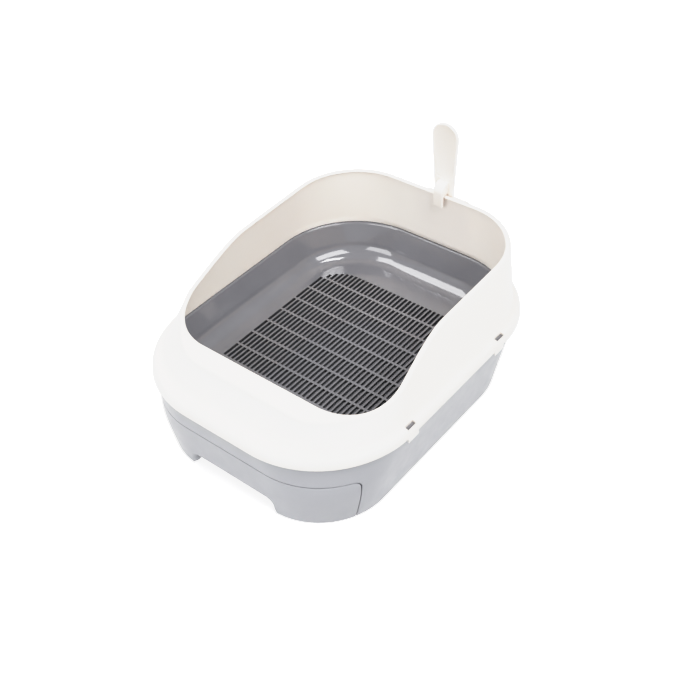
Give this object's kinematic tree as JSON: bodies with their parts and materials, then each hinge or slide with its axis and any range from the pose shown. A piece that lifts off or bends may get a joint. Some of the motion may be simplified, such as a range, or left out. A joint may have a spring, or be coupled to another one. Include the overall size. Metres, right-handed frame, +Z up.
{
  "type": "cat litter box",
  "caption": "Open-topped cat litter box: tapered base with a pull-out waste drawer, slotted sifting pan, high wrap-round splash guard with a low front entry, and a hanging scoop.",
  "frame": {"origin": "middle of the box's plan, on the floor under its feet", "axes": "+Z up; -Y out of the low front entry and the drawer; +X to the right of someone facing the back of the box from its front"},
  "size_m": [0.41, 0.5175, 0.34],
  "materials": {
    "silver_grey_plastic": "satin moulded polypropylene, light silver grey",
    "glossy_grey_plastic": "polished non-stick moulding, mid grey",
    "white_plastic": "smooth satin moulding, warm white",
    "grey_rubber": "matt"
  },
  "bodies": {
    "base": {"base_shell": "silver_grey_plastic", "anti_slip_pad_front_left": "grey_rubber", "anti_slip_pad_front_right": "grey_rubber", "anti_slip_pad_rear_left": "grey_rubber", "anti_slip_pad_rear_right": "grey_rubber"},
    "drawer": {"drawer": "silver_grey_plastic"},
    "pan": {"sieve_pan": "glossy_grey_plastic"},
    "hood": {"hood": "white_plastic"},
    "scoop": {"scoop": "white_plastic"}
  },
  "joints": [
    {"name": "drawer_slide", "type": "slide", "parent": "base", "child": "drawer", "axis": [0, -1, 0], "range_m": [0, 0.4]},
    {"name": "pan_lift", "type": "slide", "parent": "base", "child": "pan", "axis": [0, 0, 1], "range_m": [0, 0.2]},
    {"name": "hood_lift", "type": "slide", "parent": "pan", "child": "hood", "axis": [0, 0, 1], "range_m": [0, 0.2]},
    {"name": "scoop_lift", "type": "slide", "parent": "hood", "child": "scoop", "axis": [0, 0, 1], "range_m": [0, 0.2]}
  ]
}
